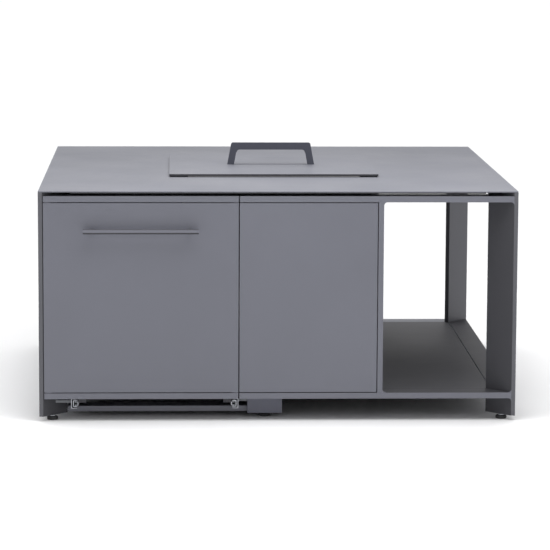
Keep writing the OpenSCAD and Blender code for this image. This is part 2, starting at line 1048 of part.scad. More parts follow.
// levelling foot: pad, locknut and threaded stem
module foot(x, y) {
    color(black)
        translate([x, y, 0]) {
            cylinder(h = foot_h - 2, r = foot_r);
            translate([0, 0, foot_h - 2])
                cylinder(h = 2, r = foot_r - 3);
            translate([0, 0, foot_h])
                cylinder(h = nut_h, r = 7.5, $fn = 6);
            translate([0, 0, foot_h])
                cylinder(h = 34, r = stem_r);
        }
}

foot_in = leg_e / 2;
block_cx = block_x0 + block_w / 2;
block_cy = block_y + block_d / 2;

tabletop();
legs();
front_top_rail();
front_head_rail();
front_bottom_rail();
front_post();
bay_fillets();
rear_rails();
side_top_rails();
side_bottom_rails();
shelf();
centre_panel();
centre_floor();
divider_left();
divider_right();
control_recess();
rear_panel_drawer();
rear_panel_centre();
left_side_panel();
front_stretcher();
rear_stretcher();
slide_bearers();
front_foot_block();
rear_foot_block();
slide_outers();
slide_tabs();
top_screws();
burner_pan();
pan_ledges();
burner_ring();
burner_feed();
electrodes();
gas_valve();
supply_pipe();
burner_pipe();
inlet_fitting();
button_bezel();
drawer_front_frame();
drawer_panel();
drawer_handle();
handle_screws();
drawer_tray();
bottle_ring();
drawer_brackets();
slide_inners();
slide_middles();
lid_sheet();
lid_handle();
lid_pads();
grate();
control_knob();
igniter_button();
foot(-x1 + foot_in, y0 + foot_in);  // foot_front_left
foot(x1 - foot_in, y0 + foot_in);  // foot_front_right
foot(-x1 + foot_in, y1 - foot_in);  // foot_rear_left
foot(x1 - foot_in, y1 - foot_in);  // foot_rear_right
foot(block_cx, y0 + block_cy);  // foot_middle_front
foot(block_cx, y1 - block_cy);  // foot_middle_rear
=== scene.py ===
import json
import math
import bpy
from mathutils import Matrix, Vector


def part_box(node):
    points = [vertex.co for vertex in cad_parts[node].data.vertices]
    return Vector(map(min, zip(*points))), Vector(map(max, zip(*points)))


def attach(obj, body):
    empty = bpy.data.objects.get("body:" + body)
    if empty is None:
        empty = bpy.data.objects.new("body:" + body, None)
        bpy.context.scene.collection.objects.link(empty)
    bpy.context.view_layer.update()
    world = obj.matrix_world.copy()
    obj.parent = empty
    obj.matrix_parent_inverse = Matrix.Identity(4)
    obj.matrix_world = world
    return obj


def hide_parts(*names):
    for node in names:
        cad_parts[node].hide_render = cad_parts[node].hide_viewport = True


bl_info = {
    "name": "Fire Pit Table",
    "version": (1, 0, 0),
    "blender": (4, 5, 0),
    "location": "View3D > Sidebar > Fire Pit",
    "description": "Dresses the fire pit table with its finishes, fixings and studio stage",
    "category": "Object",
}

import bmesh
import bpy
from bpy.props import (
    FloatProperty,
    FloatVectorProperty,
    IntProperty,
    PointerProperty,
)
from mathutils import Matrix, Vector

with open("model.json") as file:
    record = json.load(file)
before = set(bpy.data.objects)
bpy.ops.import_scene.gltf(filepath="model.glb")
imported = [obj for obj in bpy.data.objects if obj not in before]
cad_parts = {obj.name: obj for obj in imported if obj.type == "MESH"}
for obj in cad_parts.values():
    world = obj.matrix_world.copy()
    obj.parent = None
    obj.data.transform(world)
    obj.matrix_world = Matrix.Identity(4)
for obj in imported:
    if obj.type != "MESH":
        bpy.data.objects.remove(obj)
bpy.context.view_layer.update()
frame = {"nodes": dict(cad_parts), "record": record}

MM = 0.001
SMOOTH_ANGLE = math.radians(38)
CREASE_ANGLE = math.radians(30)
FLAT_ANGLE = math.radians(1)
FLOOR_REACH = 150.0

TABLE_BODY = "table"
DRAWER_BODY = "drawer"
KNOB_BODY = "knob"
BUTTON_BODY = "button"

UP, SIDE, FRONT = Vector((0, 0, 1)), Vector((1, 0, 0)), Vector((0, -1, 0))


# ---------------------------------------------------------------- settings


def colour_prop(name, description, default):
    return FloatVectorProperty(
        name=name,
        description=description,
        default=default,
        subtype="COLOR",
        size=3,
        min=0.0,
        max=1.0,
    )


class CoatSettings(bpy.types.PropertyGroup):
    """Powder coat on the sheet metal."""

    graphite: colour_prop(
        "Graphite", "Coat of the table, the drawer and the lid", (0.147, 0.151, 0.181)
    )
    # Shade: painted shade; the coat darkened to stand for the shadow on the shelf, the inner faces
    # and the other shaded faces that take dark_coat.
    shade: colour_prop("Shade", "Darker coat of the shelf and inner faces", (0.055, 0.055, 0.062))
    # Base: painted shade; the graphite coat darkened for the shadow on the slide bearers and the
    # foot blocks.
    base: colour_prop(
        "Base", "Coat of the slide bearers and the foot blocks", (0.118, 0.122, 0.158)
    )
    leg: colour_prop("Leg", "Coat of the legs", (0.11, 0.111, 0.124))
    grip: colour_prop("Grip", "Coat of the lid handle", (0.06, 0.063, 0.084))
    pull: colour_prop("Pull", "Front of the drawer handle", (0.165, 0.168, 0.2))
    roughness: FloatProperty(
        name="Roughness", description="Gloss of the coat", default=0.42, min=0.0, max=1.0
    )
    grain: FloatProperty(
        name="Grain height",
        description="Height of the coat's fine texture",
        default=0.05 * MM,
        min=0.0,
        unit="LENGTH",
    )
    worn: FloatProperty(
        name="Edge wear",
        description="How far the coat is rubbed pale on edges",
        default=0.35,
        min=0.0,
        max=1.0,
    )
    # Dust and painted sheen: the pale tone laid on upward faces is partly dust and partly a painted
    # reflection of the bright surroundings.
    dust_and_sheen: FloatProperty(
        name="Dust", description="Dust that lies on upward faces", default=0.1, min=0.0, max=1.0
    )


class MetalSettings(bpy.types.PropertyGroup):
    """Bare and plated metals, plastics and ceramic."""

    zinc: colour_prop("Zinc", "Plating of slides, brackets and nuts", (0.56, 0.58, 0.62))
    polished: colour_prop("Polished steel", "Burner pan and its flange", (0.72, 0.7, 0.67))
    brass: colour_prop("Brass", "Gas fittings and pipes", (0.62, 0.44, 0.17))
    enamel: colour_prop("Enamel", "Grate", (0.028, 0.028, 0.03))
    plastic: colour_prop("Plastic", "Knob, button and foot pads", (0.022, 0.022, 0.024))
    ceramic: colour_prop("Ceramic", "Electrode bodies", (0.8, 0.78, 0.71))


class EdgeSettings(bpy.types.PropertyGroup):
    """Rounding of edges and details of fixings."""

    sheet: FloatProperty(
        name="Sheet edge",
        description="Rounding of folded sheet edges",
        default=0.6 * MM,
        min=0.0,
        unit="LENGTH",
    )
    bar: FloatProperty(
        name="Bar edge",
        description="Rounding of bars and legs",
        default=1.2 * MM,
        min=0.0,
        unit="LENGTH",
    )
    small: FloatProperty(
        name="Small edge",
        description="Rounding of small fittings",
        default=0.35 * MM,
        min=0.0,
        unit="LENGTH",
    )
    segments: IntProperty(
        name="Segments",
        description="Steps in each rounding",
        default=2,
        min=1,
        max=4,
    )
    screw: FloatProperty(
        name="Screw radius",
        description="Head radius of the panel screws",
        default=3.6 * MM,
        min=0.0,
        unit="LENGTH",
    )


class StageSettings(bpy.types.PropertyGroup):
    """Camera, lights and floor."""

    camera_side: FloatProperty(
        name="Camera side", description="Camera's place along X", default=-0.2605, unit="LENGTH"
    )
    camera_back: FloatProperty(
        name="Camera back", description="Camera's place along Y", default=-7.4428, unit="LENGTH"
    )
    camera_up: FloatProperty(
        name="Camera height",
        description="Camera's height above the floor",
        default=1.3372,
        unit="LENGTH",
    )
    yaw: FloatProperty(
        name="Yaw",
        description="Turn to the right",
        default=0.036686,
        unit="ROTATION",
    )
    pitch: FloatProperty(name="Pitch", description="Tilt down", default=0.13982, unit="ROTATION")
    roll: FloatProperty(
        name="Roll",
        description="Turn about the view's axis",
        default=0.004456,
        unit="ROTATION",
    )
    lens: FloatProperty(
        name="Lens",
        description="Focal length in millimetres",
        default=181.17,
        min=1.0,
    )
    floor: colour_prop("Floor", "Colour of the floor", (0.9, 0.9, 0.905))
    ambient: FloatProperty(
        name="Ambient",
        description="Strength of the surrounding light",
        default=0.42,
        min=0.0,
    )
    ceiling: FloatProperty(
        name="Ceiling",
        description="Strength of the light straight above",
        default=0.5,
        min=0.0,
    )
    rear: FloatProperty(
        name="Rear",
        description="Strength of the high rear light",
        default=1.8,
        min=0.0,
    )
    side: FloatProperty(
        name="Side",
        description="Strength of the low front right light",
        default=0.32,
        min=0.0,
    )
    spread: FloatProperty(
        name="Spread",
        description="How wide each far light is",
        default=math.radians(60),
        subtype="ANGLE",
    )
    box_power: FloatProperty(
        name="Soft box",
        description="Power of the box over the front edge",
        default=24.5,
        min=0.0,
    )
    box_at: FloatVectorProperty(
        name="Soft box place",
        description="Centre of the soft box",
        default=(0.1, -0.9, 1.9),
        size=3,
        unit="LENGTH",
    )


def coat():
    return bpy.context.scene.firepit_coat


def metal():
    return bpy.context.scene.firepit_metal


def edges():
    return bpy.context.scene.firepit_edges


def stage():
    return bpy.context.scene.firepit_stage


# ---------------------------------------------------------------- finishes


def add(tree, kind, **values):
    """Adds a node and sets its properties and, by socket name or number, its inputs."""
    node = tree.nodes.new(kind)
    for key, value in values.items():
        if key == "inputs":
            for socket, number in value.items():
                node.inputs[socket].default_value = number
        else:
            setattr(node, key, value)
    return node


def new_group(name, inputs, outputs):
    """Starts a shader node group; each input is (name, kind, default), each output (name, kind)."""
    tree = bpy.data.node_groups.new(name, "ShaderNodeTree")
    for label, kind, default in inputs:
        socket = tree.interface.new_socket(name=label, in_out="INPUT", socket_type=kind)
        socket.default_value = default
    for label, kind in outputs:
        tree.interface.new_socket(name=label, in_out="OUTPUT", socket_type=kind)
    return tree, tree.nodes.new("NodeGroupInput"), tree.nodes.new("NodeGroupOutput")


FLOAT, COLOUR, VECTOR = "NodeSocketFloat", "NodeSocketColor", "NodeSocketVector"


def coat_grain_group():
    """Fine bumps of a textured powder coat, with a slow change of tone."""
    tree, given, made = new_group(
        "coat_grain",
        [("Vector", VECTOR, (0, 0, 0)), ("Scale", FLOAT, 900.0), ("Cloud Scale", FLOAT, 4.0)],
        [("Height", FLOAT), ("Tone", FLOAT)],
    )
    link = tree.links.new
    fine = add(tree, "ShaderNodeTexNoise", inputs={"Detail": 3.0, "Roughness": 0.6})
    link(given.outputs["Vector"], fine.inputs["Vector"])
    link(given.outputs["Scale"], fine.inputs["Scale"])
    cells = add(tree, "ShaderNodeTexVoronoi", feature="SMOOTH_F1")
    link(given.outputs["Vector"], cells.inputs["Vector"])
    link(given.outputs["Scale"], cells.inputs["Scale"])
    mix = add(tree, "ShaderNodeMath", operation="MULTIPLY_ADD", inputs={1: 0.45})
    link(cells.outputs["Distance"], mix.inputs[0])
    link(fine.outputs["Fac"], mix.inputs[2])
    link(mix.outputs[0], made.inputs["Height"])
    cloud = add(tree, "ShaderNodeTexNoise", inputs={"Detail": 4.0, "Roughness": 0.55})
    link(given.outputs["Vector"], cloud.inputs["Vector"])
    link(given.outputs["Cloud Scale"], cloud.inputs["Scale"])
    link(cloud.outputs["Fac"], made.inputs["Tone"])
    return tree


def edge_wear_group():
    """Mask of rubbed edges, broken up by noise."""
    tree, given, made = new_group(
        "edge_wear",
        [("Vector", VECTOR, (0, 0, 0)), ("Radius", FLOAT, 0.0018), ("Amount", FLOAT, 0.4)],
        [("Mask", FLOAT)],
    )
    link = tree.links.new
    soft = add(tree, "ShaderNodeBevel", samples=4)
    link(given.outputs["Radius"], soft.inputs["Radius"])
    true = add(tree, "ShaderNodeNewGeometry")
    dot = add(tree, "ShaderNodeVectorMath", operation="DOT_PRODUCT")
    link(soft.outputs["Normal"], dot.inputs[0])
    link(true.outputs["Normal"], dot.inputs[1])
    turned = add(tree, "ShaderNodeMapRange", inputs={"From Min": 1.0, "From Max": 0.8})
    link(dot.outputs["Value"], turned.inputs["Value"])
    patches = add(
        tree, "ShaderNodeTexNoise", inputs={"Scale": 38.0, "Detail": 6.0, "Roughness": 0.7}
    )
    link(given.outputs["Vector"], patches.inputs["Vector"])
    broken = add(tree, "ShaderNodeMapRange", inputs={"From Min": 0.38, "From Max": 0.62})
    link(patches.outputs["Fac"], broken.inputs["Value"])
    both = add(tree, "ShaderNodeMath", operation="MULTIPLY")
    link(turned.outputs["Result"], both.inputs[0])
    link(broken.outputs["Result"], both.inputs[1])
    scaled = add(tree, "ShaderNodeMath", operation="MULTIPLY")
    link(both.outputs[0], scaled.inputs[0])
    link(given.outputs["Amount"], scaled.inputs[1])
    link(scaled.outputs[0], made.inputs["Mask"])
    return tree


def dust_and_sheen_group():
    """Mask of thin dust and painted sheen on faces that look up: the pale tone stands partly for
    dust and partly for a painted reflection of the bright surroundings.
    """
    tree, given, made = new_group(
        "dust_and_sheen_mask", [("Vector", VECTOR, (0, 0, 0)), ("Amount", FLOAT, 0.15)], [("Mask", FLOAT)]
    )
    link = tree.links.new
    shape = add(tree, "ShaderNodeNewGeometry")
    split = add(tree, "ShaderNodeSeparateXYZ")
    link(shape.outputs["Normal"], split.inputs[0])
    facing = add(tree, "ShaderNodeMapRange", inputs={"From Min": 0.6, "From Max": 1.0})
    link(split.outputs["Z"], facing.inputs["Value"])
    drift = add(tree, "ShaderNodeTexNoise", inputs={"Scale": 3.2, "Detail": 8.0, "Roughness": 0.62})
    link(given.outputs["Vector"], drift.inputs["Vector"])
    spread = add(tree, "ShaderNodeMapRange", inputs={"From Min": 0.35, "From Max": 0.7})
    link(drift.outputs["Fac"], spread.inputs["Value"])
    both = add(tree, "ShaderNodeMath", operation="MULTIPLY")
    link(facing.outputs["Result"], both.inputs[0])
    link(spread.outputs["Result"], both.inputs[1])
    scaled = add(tree, "ShaderNodeMath", operation="MULTIPLY")
    link(both.outputs[0], scaled.inputs[0])
    link(given.outputs["Amount"], scaled.inputs[1])
    link(scaled.outputs[0], made.inputs["Mask"])
    return tree


def brushed_group():
    """Long fine scratches along one direction, set by stretching the vector that comes in."""
    tree, given, made = new_group(
        "brushed",
        [("Vector", VECTOR, (0, 0, 0)), ("Stretch", VECTOR, (4.0, 900.0, 900.0))],
        [("Height", FLOAT), ("Tone", FLOAT)],
    )
    link = tree.links.new
    scaled = add(tree, "ShaderNodeVectorMath", operation="MULTIPLY")
    link(given.outputs["Vector"], scaled.inputs[0])
    link(given.outputs["Stretch"], scaled.inputs[1])
    lines = add(tree, "ShaderNodeTexNoise", inputs={"Scale": 1.0, "Detail": 3.0, "Roughness": 0.7})
    link(scaled.outputs[0], lines.inputs["Vector"])
    link(lines.outputs["Fac"], made.inputs["Height"])
    cloud = add(tree, "ShaderNodeTexNoise", inputs={"Scale": 9.0, "Detail": 4.0})
    link(given.outputs["Vector"], cloud.inputs["Vector"])
    link(cloud.outputs["Fac"], made.inputs["Tone"])
    return tree


def shared(name):
    makers = {
        "coat_grain": coat_grain_group,
        "edge_wear": edge_wear_group,
        "dust_and_sheen_mask": dust_and_sheen_group,
        "brushed": brushed_group,
    }
    return bpy.data.node_groups.get(name) or makers[name]()


def start_material(name):
    """Empties the CAD nodes' material of that name, or makes one, and gives it a shader."""
    material = bpy.data.materials.get(name) or bpy.data.materials.new(name)
    material.use_nodes = True
    tree = material.node_tree
    tree.nodes.clear()
    shader = add(tree, "ShaderNodeBsdfPrincipled")
    surface = add(tree, "ShaderNodeOutputMaterial")
    tree.links.new(shader.outputs["BSDF"], surface.inputs["Surface"])
    place = add(tree, "ShaderNodeTexCoord").outputs["Object"]
    return material, tree, shader, place


def use_group(tree, name, place, **values):
    node = add(tree, "ShaderNodeGroup", node_tree=shared(name))
    tree.links.new(place, node.inputs["Vector"])
    for label, number in values.items():
        node.inputs[label.replace("_", " ")].default_value = number
    return node


def blend_colour(tree, mask, under, over):
    """Mixes two colours by a mask; each colour is an output or three numbers."""
    mix = add(tree, "ShaderNodeMix", data_type="RGBA")
    tree.links.new(mask, mix.inputs[0])
    for socket, colour in ((mix.inputs[6], under), (mix.inputs[7], over)):
        if isinstance(colour, bpy.types.NodeSocket):
            tree.links.new(colour, socket)
        else:
            socket.default_value = (*colour, 1.0)
    return mix.outputs[2]


def ranged(tree, value, low, high):
    """Spreads the middle of a noise value over the given range."""
    node = add(
        tree,
        "ShaderNodeMapRange",
        inputs={"From Min": 0.3, "From Max": 0.7, "To Min": low, "To Max": high},
    )
    tree.links.new(value, node.inputs["Value"])
    return node.outputs["Result"]


def bumped(tree, shader, height, distance):
    bump = add(tree, "ShaderNodeBump", inputs={"Strength": 1.0, "Distance": distance})
    tree.links.new(height, bump.inputs["Height"])
    tree.links.new(bump.outputs["Normal"], shader.inputs["Normal"])


def tint(colour, factor):
    return tuple(min(1.0, c * factor) for c in colour)


def powder_coat(name, colour, roughness, sheen=0.5, dust_sheen=1.0):
    """Fine-texture powder coat with soft tone changes, rubbed edges, and thin dust with painted
    sheen on faces that look up.
    """
    material, tree, shader, place = start_material(name)
    shader.inputs["Specular IOR Level"].default_value = sheen
    grain = use_group(tree, "coat_grain", place, Scale=900.0, Cloud_Scale=3.5)
    wear = use_group(tree, "edge_wear", place, Radius=1.6 * MM, Amount=coat().worn)
    dust_and_sheen = use_group(tree, "dust_and_sheen_mask", place, Amount=coat().dust_and_sheen * dust_sheen)
    tone = ranged(tree, grain.outputs["Tone"], 0.0, 1.0)
    body = blend_colour(tree, tone, tint(colour, 0.965), tint(colour, 1.035))
    rubbed = blend_colour(tree, wear.outputs["Mask"], body, tint(colour, 1.9))
    # painted sheen: upward faces are paled, partly as dust and partly as a painted reflection of
    # the surroundings
    with_dust_and_sheen = blend_colour(tree, dust_and_sheen.outputs["Mask"], rubbed, (0.42, 0.41, 0.4))
    tree.links.new(with_dust_and_sheen, shader.inputs["Base Color"])
    gloss = ranged(tree, grain.outputs["Tone"], roughness - 0.03, roughness + 0.05)
    tree.links.new(gloss, shader.inputs["Roughness"])
    bumped(tree, shader, grain.outputs["Height"], coat().grain)
    return material


def plated(name, colour, roughness, stretch):
    """Plated or polished metal with a brushed lay along one direction."""
    material, tree, shader, place = start_material(name)
    shader.inputs["Metallic"].default_value = 1.0
    lay = use_group(tree, "brushed", place, Stretch=stretch)
    wear = use_group(tree, "edge_wear", place, Radius=0.8 * MM, Amount=0.5)
    tone = ranged(tree, lay.outputs["Tone"], 0.0, 1.0)
    body = blend_colour(tree, tone, tint(colour, 0.86), tint(colour, 1.06))
    bright = blend_colour(tree, wear.outputs["Mask"], body, tint(colour, 1.25))
    tree.links.new(bright, shader.inputs["Base Color"])
    gloss = ranged(tree, lay.outputs["Height"], roughness * 0.75, roughness * 1.35)
    tree.links.new(gloss, shader.inputs["Roughness"])
    bumped(tree, shader, lay.outputs["Height"], 0.005 * MM)
    return material


def moulded(name, colour, roughness, height, scale=1400.0):
    """Moulded plastic, rubber, enamel or ceramic with a fine grain."""
    material, tree, shader, place = start_material(name)
    grain = use_group(tree, "coat_grain", place, Scale=scale, Cloud_Scale=22.0)
    wear = use_group(tree, "edge_wear", place, Radius=0.8 * MM, Amount=0.25)
    # the same mask of dust and painted sheen on upward faces
    dust_and_sheen = use_group(tree, "dust_and_sheen_mask", place, Amount=0.1)
    tone = ranged(tree, grain.outputs["Tone"], 0.0, 1.0)
    body = blend_colour(tree, tone, tint(colour, 0.8), tint(colour, 1.2))
    rubbed = blend_colour(tree, wear.outputs["Mask"], body, tint(colour, 2.6))
    dust_sheen = blend_colour(tree, dust_and_sheen.outputs["Mask"], rubbed, (0.4, 0.39, 0.37))
    tree.links.new(dust_sheen, shader.inputs["Base Color"])
    gloss = ranged(tree, grain.outputs["Tone"], roughness - 0.06, roughness + 0.08)
    tree.links.new(gloss, shader.inputs["Roughness"])
    bumped(tree, shader, grain.outputs["Height"], height)
    return material


FINISHES = {}


def finish(name):
    """The finish of that name, made the first time it is asked for."""
    if name in FINISHES:
        return FINISHES[name]
    c, m = coat(), metal()
    makers = {
        "graphite_coat": lambda n: powder_coat(n, c.graphite, c.roughness),
        # dark_coat is painted shade: a darkened coat that stands for shadow on shaded faces
        "dark_coat": lambda n: powder_coat(n, c.shade, c.roughness + 0.06, 0.25, 0.2),
        "base_coat": lambda n: powder_coat(n, c.base, c.roughness),
        "leg_coat": lambda n: powder_coat(n, c.leg, c.roughness, 0.3),
        "grip_coat": lambda n: powder_coat(n, c.grip, c.roughness),
        "pull_coat": lambda n: powder_coat(n, c.pull, c.roughness, 0.4),
        "dull_zinc": lambda n: plated(n, tint(m.zinc, 0.3), 0.5, (900.0, 5.0, 900.0)),
        "zinc": lambda n: plated(n, m.zinc, 0.28, (900.0, 5.0, 900.0)),
        "polished_steel": lambda n: plated(n, tint(m.polished, 0.62), 0.36, (3.0, 700.0, 700.0)),
        "hem_steel": lambda n: plated(n, m.polished, 0.3, (3.0, 700.0, 700.0)),
        "brass": lambda n: plated(n, m.brass, 0.3, (700.0, 700.0, 12.0)),
        "black_steel": lambda n: moulded(n, (0.03, 0.03, 0.032), 0.38, 0.02 * MM),
        "cast_grate": lambda n: moulded(n, m.enamel, 0.46, 0.16 * MM, 420.0),
        "electrode_ceramic": lambda n: moulded(n, m.ceramic, 0.3, 0.02 * MM),
        "black_plastic": lambda n: moulded(n, m.plastic, 0.42, 0.04 * MM),
        "pad_rubber": lambda n: moulded(n, (0.03, 0.03, 0.03), 0.75, 0.06 * MM),
        "foot_plastic": lambda n: moulded(n, m.plastic, 0.5, 0.05 * MM),
        "pale_paint": lambda n: moulded(n, (0.62, 0.62, 0.6), 0.5, 0.01 * MM),
    }
    FINISHES[name] = makers[name](name)
    return FINISHES[name]


# ---------------------------------------------------------------- modelling


def node_slot(node):
    """The record's material slot of a CAD node."""
    for part in frame["record"]["subparts"]:
        if part["node"] == node:
            return part["material_slot"]
    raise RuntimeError(f"the record has no subpart for {node}")


def node_body(node):
    for body, members in frame["record"]["behaviour"]["bodies"].items():
        if node in members:
            return body
    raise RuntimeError(f"the record has no body for {node}")


def merged_copy(node):
    """A bmesh of a CAD node with its loose triangles joined and flat areas made whole."""
    bm = bmesh.new()
    bm.from_mesh(frame["nodes"][node].data)
    bmesh.ops.remove_doubles(bm, verts=bm.verts, dist=1e-6)
    bmesh.ops.dissolve_limit(
        bm,
        angle_limit=FLAT_ANGLE,
        use_dissolve_boundaries=False,
        verts=bm.verts,
        edges=bm.edges,
        delimit={"NORMAL"},
    )
    return bm


def round_edges(bm, width, segments=None, chosen=None):
    """Bevels the given edges, or every hard edge."""
    if chosen is None:
        chosen = [
            e for e in bm.edges if len(e.link_faces) == 2 and e.calc_face_angle(0.0) > CREASE_ANGLE
        ]
    if width > 0 and chosen:
        bmesh.ops.bevel(
            bm,
            geom=chosen,
            offset=width,
            offset_type="OFFSET",
            segments=segments or edges().segments,
            profile=0.5,
            affect="EDGES",
            clamp_overlap=True,
            material=-1,
        )


def make_piece(name, bm, material, body, replaced=(), weighted=True):
    """Turns a bmesh into a finished piece that rides on a body and stands for CAD nodes."""
    mesh = bpy.data.meshes.new(name)
    for face in bm.faces:
        face.smooth = True
    bm.to_mesh(mesh)
    bm.free()
    mesh.set_sharp_from_angle(angle=SMOOTH_ANGLE)
    mesh.materials.append(finish(material))
    piece = bpy.data.objects.new(name, mesh)
    bpy.context.scene.collection.objects.link(piece)
    if weighted:
        normals = piece.modifiers.new("face weighted normals", "WEIGHTED_NORMAL")
        normals.keep_sharp = True
        normals.mode = "FACE_AREA"
    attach(piece, body)
    if replaced:
        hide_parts(*replaced)
    return piece


def dressed(node, width, material=None, extra=None):
    """A rounded copy of a CAD node, with any extra shapes, in the node's own finish."""
    bm = merged_copy(node)
    round_edges(bm, width)
    if extra:
        extra(bm)
    slot = node_slot(node)
    return make_piece(node + "_piece", bm, material or slot, node_body(node), (node,))


def facing(direction, at):
    """Matrix that puts +Z along a direction at a point."""
    turn = Vector(direction).normalized().to_track_quat("Z", "Y").to_matrix().to_4x4()
    return Matrix.Translation(Vector(at)) @ turn


def ring(bm, radius, height, sides, place):
    """A closed loop of edges at a height above a place; returns its edges."""
    made = bmesh.ops.create_circle(
        bm,
        cap_ends=False,
        radius=radius,
        segments=sides,
        matrix=place @ Matrix.Translation((0, 0, height)),
    )
    loop = set()
    for v in made["verts"]:
        loop.update(v.link_edges)
    return list(loop)


def stacked(bm, rings, place):
    """Joins loops one above another, each (radius, height, sides), and closes both ends."""
    loops = [ring(bm, r, z, n, place) for r, z, n in rings]
    faces = []
    for low, high in zip(loops, loops[1:]):
        faces += bmesh.ops.bridge_loops(bm, edges=low + high)["faces"]
    for loop in (loops[0], loops[-1]):
        faces += bmesh.ops.contextual_create(bm, geom=loop)["faces"]
    bmesh.ops.recalc_face_normals(bm, faces=faces)
    return faces


def socket_screw(bm, at, direction, radius, height):
    """Button-head screw with a hexagon socket."""
    stacked(
        bm,
        [
            (radius, 0.0, 20),
            (radius, height * 0.35, 20),
            (radius * 0.9, height * 0.75, 20),
            (radius * 0.66, height, 20),
            (radius * 0.46, height, 6),
            (radius * 0.46, height * 0.3, 6),
        ],
        facing(direction, at),
    )


def washer_screw(bm, at, direction, radius, height):
    """The same screw on a thin washer."""
    place = facing(direction, at)
    stacked(bm, [(radius * 1.45, 0.0, 24), (radius * 1.45, height * 0.2, 24)], place)
    socket_screw(bm, place @ Vector((0, 0, height * 0.2)), direction, radius, height)


def hexagon_nut(bm, place, radii, heights):
    """Chamfered nut: radii at its lower end, its flats and its upper end, at four heights."""
    low, flats, high = radii
    rings = zip((low, flats, flats, high), heights)
    stacked(bm, [(radius, height, 6) for radius, height in rings], place)


def hexagon_sockets(bm):
    """Sinks a hexagon socket into the round end faces of the screws."""
    ends = [f for f in bm.faces if len(f.verts) > 20]
    for face in ends:
        at, out = face.calc_center_median(), face.normal.copy()
        radius = (face.verts[0].co - at).length
        place = facing(out, at)
        bmesh.ops.delete(bm, geom=[face], context="FACES_ONLY")
        rim = {e for e in bm.edges if len(e.link_faces) == 1}
        mouth = ring(bm, radius * 0.55, 0.0, 6, place)
        foot = ring(bm, radius * 0.55, -radius * 0.35, 6, place)
        bmesh.ops.bridge_loops(bm, edges=list(rim) + mouth)
        bmesh.ops.bridge_loops(bm, edges=mouth + foot)
        bmesh.ops.contextual_create(bm, geom=foot)
        bmesh.ops.recalc_face_normals(bm, faces=bm.faces)


def weld(bm, start, end, radius):
    """A run of overlapping flattened beads between two points."""
    start, end = Vector(start), Vector(end)
    count = max(2, int((end - start).length / (radius * 0.9)))
    for i in range(count + 1):
        at = Matrix.Translation(start.lerp(end, i / count))
        bmesh.ops.create_uvsphere(bm, u_segments=8, v_segments=5, radius=radius, matrix=at)


def collar(bm, at, direction, inner, outer, height):
    """A sloped weld ring where a round rod meets a face."""
    stacked(bm, [(outer, 0.0, 16), (inner, height, 16)], facing(direction, at))


def block(bm, low, high, width=0.0):
    """A bar between two corners with rounded edges."""
    low, high = Vector(low), Vector(high)
    made = bmesh.ops.create_cube(bm, size=1.0, matrix=Matrix.Translation((low + high) / 2))
    bmesh.ops.scale(
        bm,
        vec=high - low,
        space=Matrix.Translation(-(low + high) / 2),
        verts=made["verts"],
    )
    if width:
        rims = {e for v in made["verts"] for e in v.link_edges}
        bmesh.ops.bevel(
            bm, geom=list(rims), offset=width, segments=2, profile=0.5, affect="EDGES", material=-1
        )


def bead(bm, centre, radius, thickness, steps=96):
    """A closed round bead about a vertical axis."""
    start = Vector(centre) + SIDE * radius
    made = bmesh.ops.create_circle(
        bm, cap_ends=False, radius=thickness, segments=10, matrix=facing(FRONT, start)
    )
    loop = {e for v in made["verts"] for e in v.link_edges}
    bmesh.ops.spin(
        bm,
        geom=list(loop),
        cent=centre,
        axis=UP,
        angle=math.tau,
        steps=steps,
        use_merge=True,
        use_duplicate=False,
    )


def paint_faces(piece, material, chosen):
    """Gives a second finish to the faces that pass the test."""
    piece.data.materials.append(finish(material))
    for face in piece.data.polygons:
        if chosen(face):
            face.material_index = 1


def centre_of(node):
    low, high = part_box(node)
    return (low + high) / 2


def row(start, end, count):
    """Evenly spaced numbers from start to end, both included."""
    return [start + (end - start) * i / (count - 1) for i in range(count)]


class PieceOperator(bpy.types.Operator):
    """Base of the operators below; build() makes the pieces."""

    bl_options = {"REGISTER"}

    def execute(self, context):
        self.build()
        return {"FINISHED"}

    def build(self):
        raise NotImplementedError


# ---------------------------------------------------------------- pieces


class FIREPIT_OT_top(PieceOperator):
    """Top plate with rounded edges"""

    bl_idname = "firepit.top"
    bl_label = "Top plate"

    def build(self):
        dressed("tabletop", edges().sheet)
        self.stiffeners()

    def stiffeners(self):
        """Low bars welded under the rim of the top, clear of the bars below it, in the dark shade
        colour as painted shade in the slit under the top.
        """
        low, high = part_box("tabletop")
        gap = low.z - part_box("side_top_rails")[1].z
        drop, set_in, thick, end = gap * 0.42, 9 * MM, 4 * MM, 80 * MM
        bm = bmesh.new()
        for y in (low.y + set_in, high.y - set_in - thick):
            block(bm, (low.x + end, y, low.z - drop), (high.x - end, y + thick, low.z), 0.6 * MM)
        for x in (low.x + set_in, high.x - set_in - thick):
            block(bm, (x, low.y + end, low.z - drop), (x + thick, high.y - end, low.z), 0.6 * MM)
        # painted shade: the stiffeners take the dark shade colour, darkening the see-through slit
        # between the top and the bars
        make_piece("top_stiffeners", bm, "dark_coat", TABLE_BODY, weighted=False)


class FIREPIT_OT_legs(PieceOperator):
    """Diagonal corner legs, with painted shade on their inner faces"""

    bl_idname = "firepit.legs"
    bl_label = "Legs"

    def build(self):
        legs = dressed("legs", edges().bar, "leg_coat")
        # painted shade: faces that look inward take the dark shade colour, for the shadow inside
        # the frame
        paint_faces(legs, "dark_coat", self.looks_inward)

    def looks_inward(self, face):
        return face.normal.x * face.center.x < -0.5 * abs(face.center.x)


